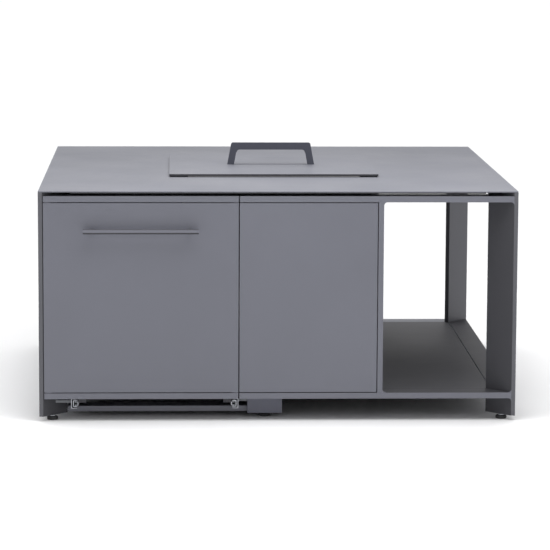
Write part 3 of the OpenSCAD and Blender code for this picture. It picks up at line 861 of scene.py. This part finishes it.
class FIREPIT_OT_rails(PieceOperator):
    """Perimeter bars, the post, the fillets of the open bay and the welds behind them"""

    bl_idname = "firepit.rails"
    bl_label = "Bars and post"

    def build(self):
        for node in (
            "front_top_rail",
            "front_head_rail",
            "front_post",
            "rear_rails",
            "side_top_rails",
        ):
            dressed(node, edges().sheet)
        for node in ("front_bottom_rail", "side_bottom_rails"):
            bar = dressed(node, edges().sheet)
            # painted shade: the top faces of the low bars take the dark shade colour, for the
            # shadow under the top
            paint_faces(bar, "dark_coat", lambda face: face.normal.z > 0.7)
        dressed("bay_fillets", 0.0)
        self.post_welds()

    def post_welds(self):
        """Welds at the back of the post, against the bars above and below it."""
        low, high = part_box("front_post")
        bm = bmesh.new()
        for z in (low.z, high.z):
            weld(bm, (low.x + 2 * MM, high.y, z), (high.x - 2 * MM, high.y, z), 1.6 * MM)
        make_piece("post_welds", bm, "graphite_coat", TABLE_BODY, weighted=False)


class FIREPIT_OT_panels(PieceOperator):
    """Shelf, front panel, dividers, rear and side panels, with their folds and screws"""

    bl_idname = "firepit.panels"
    bl_label = "Panels"

    def build(self):
        for node in (
            "shelf",
            "centre_panel",
            "centre_floor",
            "divider_left",
            "divider_right",
            "rear_panel_drawer",
            "rear_panel_centre",
            "left_side_panel",
        ):
            dressed(node, edges().small)
        self.panel_returns()
        self.panel_screws()

    def panel_returns(self):
        """Folds that close the rear panels against the ends of the dividers."""
        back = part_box("rear_panel_centre")[0].y
        bm = bmesh.new()
        for node in ("divider_left", "divider_right"):
            low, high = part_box(node)
            block(bm, (low.x, high.y, low.z), (high.x, back, high.z), edges().small)
        make_piece("panel_returns", bm, "graphite_coat", TABLE_BODY, weighted=False)

    def panel_screws(self):
        """Button-head screws along the upper and lower edges of the outer panels."""
        bm = bmesh.new()
        head, inset = edges().screw, 14 * MM
        for node, count in (("rear_panel_drawer", 5), ("rear_panel_centre", 4)):
            low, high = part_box(node)
            for x in row(low.x + inset, high.x - inset, count):
                for z in (low.z + inset, high.z - inset):
                    washer_screw(bm, (x, high.y, z), -FRONT, head, 2.0 * MM)
        low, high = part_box("left_side_panel")
        for y in row(low.y + inset, high.y - inset, 7):
            for z in (low.z + inset, high.z - inset):
                washer_screw(bm, (low.x, y, z), -SIDE, head, 2.0 * MM)
        low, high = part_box("divider_right")
        for y in row(low.y + 40 * MM, high.y - 40 * MM, 5):
            washer_screw(bm, (high.x, y, low.z + inset), SIDE, head, 1.4 * MM)
        make_piece("panel_screws", bm, "black_steel", TABLE_BODY, weighted=False)


class FIREPIT_OT_base(PieceOperator):
    """Base bars, slide bearers and the middle foot blocks"""

    bl_idname = "firepit.base"
    bl_label = "Base"

    def build(self):
        for node in ("front_stretcher", "rear_stretcher"):
            dressed(node, edges().sheet, "graphite_coat")
        # painted shade: the slide bearers and foot blocks take the darker base colour, for the
        # shadow they sit in
        for node in ("slide_bearers", "front_foot_block", "rear_foot_block"):
            dressed(node, edges().sheet, "base_coat")


class FIREPIT_OT_slides(PieceOperator):
    """Ball-bearing drawer slides and their tabs"""

    bl_idname = "firepit.slides"
    bl_label = "Drawer slides"

    def build(self):
        for node in ("slide_outers", "slide_middles", "slide_inners"):
            dressed(node, edges().small)
        dressed("slide_tabs", edges().small, "dull_zinc")


class FIREPIT_OT_drawer(PieceOperator):
    """Drawer front, bar handle, tray with raised ribs and bottle ring with a rolled edge"""

    bl_idname = "firepit.drawer"
    bl_label = "Drawer"

    def build(self):
        dressed("drawer_front_frame", edges().sheet)
        dressed("drawer_panel", edges().small)
        self.pull()
        dressed("handle_screws", edges().small, extra=hexagon_sockets)
        dressed("drawer_tray", edges().small, extra=self.ribs)
        dressed("bottle_ring", 0.0, extra=self.rolled_edge)
        dressed("drawer_brackets", edges().small)
        self.tray_screws()

    def pull(self):
        """Bar handle with a sloped lower front, with painted shade on its faces above and below, on
        two posts.
        """
        low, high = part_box("drawer_handle")
        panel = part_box("drawer_panel")[0]
        screws_low, screws_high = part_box("handle_screws")
        bar_back = low.y + 8 * MM
        head = 4.5 * MM
        bm = bmesh.new()
        block(bm, low, (high.x, bar_back, high.z))
        lower_edge = [
            e
            for e in bm.edges
            if max(v.co.y for v in e.verts) < low.y + 1 * MM
            and max(v.co.z for v in e.verts) < low.z + 1 * MM
        ]
        round_edges(bm, 4.4 * MM, 1, lower_edge)
        round_edges(bm, 0.5 * MM)
        for x in (screws_low.x + head, screws_high.x - head):
            place = facing(-FRONT, (x, bar_back, (low.z + high.z) / 2))
            reach = panel.y - bar_back
            stacked(
                bm,
                [(head, -1 * MM, 32), (head, reach - 0.4 * MM, 32), (head - 0.4 * MM, reach, 32)],
                place,
            )
        handle = make_piece(
            "drawer_pull", bm, "pull_coat", DRAWER_BODY, ("drawer_handle",)
        )
        # painted shade: faces that look up or down take the dark shade colour, for the shadow lines
        # above and below the bar
        paint_faces(handle, "dark_coat", lambda face: abs(face.normal.z) > 0.3)

    def ribs(self, bm):
        low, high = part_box("drawer_tray")
        ring_low, ring_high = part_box("bottle_ring")
        for x in (low.x + 22 * MM, high.x - 25 * MM):
            block(
                bm,
                (x, low.y + 25 * MM, ring_low.z - 0.5 * MM),
                (x + 5 * MM, high.y - 25 * MM, ring_low.z + 1.6 * MM),
                0.7 * MM,
            )

    def rolled_edge(self, bm):
        low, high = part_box("bottle_ring")
        middle = (low + high) / 2
        wall = (high.x - low.x) / 2 - 1 * MM
        bead(bm, (middle.x, middle.y, high.z - 1.8 * MM), wall, 1.9 * MM)

    def tray_screws(self):
        """Screws that hold the tray to the drawer front."""
        low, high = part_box("drawer_tray")
        bm = bmesh.new()
        for x in row(low.x + 30 * MM, high.x - 30 * MM, 4):
            washer_screw(bm, (x, low.y + 2 * MM, high.z - 18 * MM), -FRONT, 3.2 * MM, 2.2 * MM)
        make_piece("tray_screws", bm, "black_steel", DRAWER_BODY, weighted=False)


class FIREPIT_OT_burner(PieceOperator):
    """Burner pan with hemmed flanges, ring burner with welded joints, and electrodes"""

    bl_idname = "firepit.burner"
    bl_label = "Burner"

    def build(self):
        pan = dressed("burner_pan", edges().small)
        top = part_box("tabletop")[1].z
        # painted shade: the pan's upright edges above the top are painted black, for the line of
        # shadow under the bright flange hems
        paint_faces(
            pan, "black_steel", lambda face: abs(face.normal.z) < 0.5 and face.center.z > top
        )
        self.flange_hems()
        for node in ("pan_ledges", "burner_feed", "electrodes"):
            dressed(node, edges().small)
        dressed("burner_ring", 0.2 * MM, extra=self.welds)
        self.nuts()

    def flange_hems(self):
        """Bright hems folded along the outer edges of the pan's flanges."""
        low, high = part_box("burner_pan")
        set_in, thick, soft = 48 * MM, 2.4 * MM, 0.3 * MM
        foot, top = high.z - 0.2 * MM, high.z + 1.2 * MM
        middle = (low.y + high.y) / 2
        reach_x, reach_y = high.x - set_in, (high.y - low.y) / 2 - set_in
        bm = bmesh.new()
        for y in (low.y, high.y - thick):
            block(bm, (-reach_x, y, foot), (reach_x, y + thick, top), soft)
        for x in (low.x, high.x - thick):
            block(bm, (x, middle - reach_y, foot), (x + thick, middle + reach_y, top), soft)
        make_piece("flange_hems", bm, "hem_steel", TABLE_BODY, weighted=False)

    def welds(self, bm):
        low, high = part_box("burner_ring")
        middle = (low + high) / 2
        reach = (high.x - low.x) / 2 - 17.5 * MM
        for sign in (-1, 1):
            spot = (middle.x + sign * reach, middle.y, high.z - 9 * MM)
            collar(bm, spot, SIDE * sign, 7.2 * MM, 8.6 * MM, -2.4 * MM)
            inner = (middle.x + sign * 13.4 * MM, middle.y, high.z - 9 * MM)
            collar(bm, inner, SIDE * sign, 7.1 * MM, 9.0 * MM, 2.6 * MM)

    def nuts(self):
        """Chamfered nuts on the electrode bodies."""
        low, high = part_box("electrodes")
        bm = bmesh.new()
        for x in (-12 * MM, 12 * MM):
            place = facing(UP, (x, (low.y + high.y) / 2, low.z + 2 * MM))
            hexagon_nut(bm, place, (6.2 * MM, 6.6 * MM, 6.0 * MM), (0, 0.5 * MM, 3.5 * MM, 4 * MM))
        make_piece("electrode_nuts", bm, "zinc", TABLE_BODY, weighted=False)


class FIREPIT_OT_gas(PieceOperator):
    """Gas valve, rigid pipes and the inlet fitting"""

    bl_idname = "firepit.gas"
    bl_label = "Gas line"

    def build(self):
        for node in ("gas_valve", "supply_pipe", "burner_pipe", "inlet_fitting"):
            dressed(node, edges().small)


class FIREPIT_OT_controls(PieceOperator):
    """Control recess, gas knob with a fluted skirt and dial, and the igniter button"""

    bl_idname = "firepit.controls"
    bl_label = "Controls"

    def build(self):
        for node in ("control_recess", "button_bezel"):
            dressed(node, edges().small)
        self.knob()
        self.dial()
        self.button()

    def knob(self):
        low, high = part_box("control_knob")
        middle = (low + high) / 2
        radius = (high.z - low.z) / 2
        back = high.x - 24 * MM
        bm = bmesh.new()
        place = facing(SIDE, (back, middle.y, middle.z))
        sides = 48
        skirt = stacked(
            bm,
            [
                (radius - 1.2 * MM, 0, sides),
                (radius, 0.8 * MM, sides),
                (radius, 3.0 * MM, sides),
                (radius - 0.8 * MM, 4.0 * MM, sides),
                (radius - 4.4 * MM, 4.6 * MM, sides),
                (radius - 4.0 * MM, 6.0 * MM, sides),
                (radius - 4.6 * MM, 22.0 * MM, sides),
                (radius - 6.2 * MM, 23.6 * MM, sides),
                (radius - 9.0 * MM, 23.2 * MM, sides),
            ],
            place,
        )
        flutes = [
            f
            for f in skirt
            if len(f.verts) == 4 and abs(f.normal.x) < 0.2 and f.calc_area() > 20 * MM * MM
        ]
        bmesh.ops.inset_individual(bm, faces=flutes, thickness=0.35 * MM, depth=-0.5 * MM)
        block(
            bm,
            (back + 5 * MM, middle.y - 3.6 * MM, middle.z - radius + 1.5 * MM),
            (high.x, middle.y + 3.6 * MM, middle.z + radius - 1.5 * MM),
            1.2 * MM,
        )
        stacked(
            bm,
            [(3 * MM, low.x - back, 24), (3 * MM, 1 * MM, 24)],
            place,
        )
        make_piece("gas_knob", bm, "black_plastic", KNOB_BODY, ("control_knob",))
        mark = bmesh.new()
        block(
            mark,
            (high.x - 1.0 * MM, middle.y - 0.8 * MM, middle.z + 4 * MM),
            (high.x + 0.15 * MM, middle.y + 0.8 * MM, middle.z + radius - 3.2 * MM),
            0.1 * MM,
        )
        make_piece("knob_mark", mark, "pale_paint", KNOB_BODY, weighted=False)

    def dial(self):
        """Tick marks on the recess wall around the knob."""
        middle = centre_of("control_knob")
        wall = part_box("control_recess")[0].x + 1.5 * MM
        ticks, sweep, start = 9, 120, -30
        bm = bmesh.new()
        for i in range(ticks):
            turn = Matrix.Translation((0, middle.y, middle.z)) @ Matrix.Rotation(
                math.radians(start + sweep * i / (ticks - 1)), 4, "X"
            )
            length = 4.5 * MM if i % 4 == 0 else 2.8 * MM
            made = bmesh.ops.create_cube(bm, size=1.0)
            bmesh.ops.scale(bm, vec=(0.3 * MM, length, 0.9 * MM), verts=made["verts"])
            bmesh.ops.translate(bm, vec=(wall, 24.5 * MM, 0), verts=made["verts"])
            bmesh.ops.transform(bm, matrix=turn, verts=made["verts"])
        make_piece("dial_marks", bm, "pale_paint", TABLE_BODY, weighted=False)

    def button(self):
        low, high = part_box("igniter_button")
        middle = (low + high) / 2
        radius = (high.z - low.z) / 2
        length = high.x - low.x
        bm = bmesh.new()
        stacked(
            bm,
            [
                (radius - 0.4 * MM, 0, 40),
                (radius, 0.4 * MM, 40),
                (radius, length - 1.2 * MM, 40),
                (radius - 0.5 * MM, length - 0.4 * MM, 40),
                (radius - 1.4 * MM, length, 40),
                (radius - 2.6 * MM, length - 0.5 * MM, 40),
                (radius - 5.0 * MM, length - 1.0 * MM, 40),
            ],
            facing(SIDE, (low.x, middle.y, middle.z)),
        )
        make_piece(
            "igniter_push", bm, "black_plastic", BUTTON_BODY, ("igniter_button",)
        )


class FIREPIT_OT_grate(PieceOperator):
    """Grate of round rods in a bar frame, with a weld ring at each rod end"""

    bl_idname = "firepit.grate"
    bl_label = "Grate"

    def build(self):
        dressed("grate", edges().sheet, extra=self.weld_rings)

    def weld_rings(self, bm):
        low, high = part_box("grate")
        bar, rods = 10 * MM, 15
        level = high.z - bar / 2
        pitch = (high.x - low.x - 2 * bar) / (rods + 1)
        for i in range(1, rods + 1):
            x = low.x + bar + i * pitch
            collar(bm, (x, low.y + bar - 0.3 * MM, level), -FRONT, 4.0 * MM, 4.9 * MM, 2.6 * MM)
            collar(bm, (x, high.y - bar + 0.3 * MM, level), FRONT, 4.0 * MM, 4.9 * MM, 2.6 * MM)


class FIREPIT_OT_lid(PieceOperator):
    """Lid with painted shade on the front and back faces of its rim, its loop handle on a foot
    strip, and pads
    """

    bl_idname = "firepit.lid"
    bl_label = "Lid"

    def build(self):
        sheet = dressed("lid_sheet", edges().sheet)
        # painted shade: the front and back rim faces take the dark shade colour, for the dark line
        # along the lid's front edge
        paint_faces(sheet, "dark_coat", lambda face: abs(face.normal.y) > 0.7)
        dressed("lid_handle", edges().bar, "grip_coat", self.foot_strip)
        dressed("lid_pads", edges().small)

    def foot_strip(self, bm):
        """Thin strip that joins the two feet of the handle on the lid."""
        low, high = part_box("lid_handle")
        inset, thick = 10 * MM, 0.9 * MM
        block(
            bm, (low.x + inset, low.y, low.z), (high.x - inset, high.y, low.z + thick), 0.2 * MM
        )


class FIREPIT_OT_feet(PieceOperator):
    """Levelling feet: fluted pad, chamfered nut and threaded stem"""

    bl_idname = "firepit.feet"
    bl_label = "Levelling feet"

    def build(self):
        for node in sorted(n for n in frame["nodes"] if n.startswith("foot_")):
            self.foot(node)

    def foot(self, node):
        low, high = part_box(node)
        middle = (low + high) / 2
        radius = (high.x - low.x) / 2
        place = Matrix.Translation((middle.x, middle.y, low.z))
        bm = bmesh.new()
        sides = 40
        wall = stacked(
            bm,
            [
                (radius - 1.6 * MM, 0, sides),
                (radius - 0.5 * MM, 0.5 * MM, sides),
                (radius, 1.4 * MM, sides),
                (radius, 6.4 * MM, sides),
                (radius - 0.7 * MM, 7.8 * MM, sides),
                (radius - 2.4 * MM, 8.7 * MM, sides),
                (radius - 5.0 * MM, 9.0 * MM, sides),
            ],
            place,
        )
        flutes = [f for f in wall if len(f.verts) == 4 and abs(f.normal.z) < 0.05]
        bmesh.ops.inset_individual(bm, faces=flutes, thickness=0.3 * MM, depth=-0.4 * MM)
        make_piece(node + "_pad", bm, "foot_plastic", node, (node,))
        metal_part = bmesh.new()
        hexagon_nut(
            metal_part,
            place,
            (6.7 * MM, 7.5 * MM, 6.7 * MM),
            (8.9 * MM, 9.4 * MM, 11.0 * MM, 11.5 * MM),
        )
        turns = 26
        thread = []
        for i in range(turns):
            z = (11.0 + 1.2 * i) * MM
            thread += [(3.55 * MM, z, 20), (4.0 * MM, z + 0.6 * MM, 20)]
        stacked(metal_part, thread, place)
        make_piece(node + "_stem", metal_part, "zinc", node, (node,), weighted=False)


class FIREPIT_OT_screws(PieceOperator):
    """Socket screws at the top of the legs, under the rim of the top"""

    bl_idname = "firepit.screws"
    bl_label = "Screws"

    def build(self):
        dressed("top_screws", edges().small, extra=hexagon_sockets)


class FIREPIT_OT_stage(PieceOperator):
    """Floor, lights and camera"""

    bl_idname = "firepit.stage"
    bl_label = "Stage"

    def build(self):
        s = stage()
        scene = bpy.context.scene
        scene.view_settings.view_transform = "Standard"

        bm = bmesh.new()
        bmesh.ops.create_grid(bm, x_segments=1, y_segments=1, size=FLOOR_REACH)
        mesh = bpy.data.meshes.new("floor")
        bm.to_mesh(mesh)
        bm.free()
        material, tree, shader, place = start_material("floor")
        cloud = add(tree, "ShaderNodeTexNoise", inputs={"Scale": 0.6, "Detail": 3.0})
        tree.links.new(place, cloud.inputs["Vector"])
        paper = blend_colour(tree, cloud.outputs["Fac"], tint(s.floor, 0.995), tint(s.floor, 1.005))
        tree.links.new(paper, shader.inputs["Base Color"])
        shader.inputs["Roughness"].default_value = 0.9
        shader.inputs["Specular IOR Level"].default_value = 0.0
        mesh.materials.append(material)
        floor = bpy.data.objects.new("floor", mesh)
        floor.location.z = -0.2 * MM
        scene.collection.objects.link(floor)

        world = bpy.data.worlds.new("studio")
        world.use_nodes = True
        sky = world.node_tree.nodes["Background"]
        sky.inputs["Color"].default_value = (1.0, 1.0, 1.0, 1.0)
        sky.inputs["Strength"].default_value = s.ambient
        scene.world = world

        for name, toward, strength in (
            ("ceiling", (0.0, 0.0, 1.0), s.ceiling),
            ("rear", (-0.1, 0.5, 1.0), s.rear),
            ("side", (0.85, -1.0, 0.6), s.side),
        ):
            far = bpy.data.lights.new(name, "SUN")
            far.energy = strength
            far.angle = s.spread
            self.place(far, facing(toward, toward))
        near = bpy.data.lights.new("soft_box", "AREA")
        near.shape = "RECTANGLE"
        near.size, near.size_y = 1.4, 1.2
        near.energy = s.box_power
        below = Vector((s.box_at[0], -0.6, 0.0))
        self.place(near, facing(Vector(s.box_at) - below, s.box_at))

        camera = bpy.data.objects.new("camera", bpy.data.cameras.new("camera"))
        camera.data.lens = s.lens
        camera.data.sensor_width = 36.0
        camera.data.clip_end = 400.0
        camera.matrix_world = (
            Matrix.Translation((s.camera_side, s.camera_back, s.camera_up))
            @ Matrix.Rotation(-s.yaw, 4, "Z")
            @ Matrix.Rotation(math.pi / 2 - s.pitch, 4, "X")
            @ Matrix.Rotation(s.roll, 4, "Z")
        )
        scene.collection.objects.link(camera)
        scene.camera = camera

    def place(self, light, matrix):
        lamp = bpy.data.objects.new(light.name, light)
        lamp.matrix_world = matrix
        lamp.visible_camera = False
        bpy.context.scene.collection.objects.link(lamp)


OPERATORS = (
    FIREPIT_OT_stage,
    FIREPIT_OT_top,
    FIREPIT_OT_legs,
    FIREPIT_OT_rails,
    FIREPIT_OT_panels,
    FIREPIT_OT_base,
    FIREPIT_OT_slides,
    FIREPIT_OT_drawer,
    FIREPIT_OT_burner,
    FIREPIT_OT_gas,
    FIREPIT_OT_controls,
    FIREPIT_OT_grate,
    FIREPIT_OT_lid,
    FIREPIT_OT_feet,
    FIREPIT_OT_screws,
)
SETTINGS = {
    "firepit_coat": CoatSettings,
    "firepit_metal": MetalSettings,
    "firepit_edges": EdgeSettings,
    "firepit_stage": StageSettings,
}


class FIREPIT_PT_panel(bpy.types.Panel):
    """Sidebar panel with the settings and one button for each group of pieces"""

    bl_idname = "FIREPIT_PT_panel"
    bl_label = "Fire Pit"
    bl_space_type = "VIEW_3D"
    bl_region_type = "UI"
    bl_category = "Fire Pit"

    def draw(self, context):
        layout = self.layout
        for name, group in SETTINGS.items():
            box = layout.box()
            settings = getattr(context.scene, name)
            for prop in group.__annotations__:
                box.prop(settings, prop)
        for operator in OPERATORS:
            layout.operator(operator.bl_idname)


def register():
    for group in SETTINGS.values():
        bpy.utils.register_class(group)
    for name, group in SETTINGS.items():
        setattr(bpy.types.Scene, name, PointerProperty(type=group))
    for operator in OPERATORS:
        bpy.utils.register_class(operator)
    bpy.utils.register_class(FIREPIT_PT_panel)


def unregister():
    bpy.utils.unregister_class(FIREPIT_PT_panel)
    for operator in reversed(OPERATORS):
        bpy.utils.unregister_class(operator)
    for name in SETTINGS:
        delattr(bpy.types.Scene, name)
    for group in reversed(list(SETTINGS.values())):
        bpy.utils.unregister_class(group)


def main():
    register()
    for operator in OPERATORS:
        family, verb = operator.bl_idname.split(".")
        getattr(getattr(bpy.ops, family), verb)()


if __name__ == "__main__":
    main()
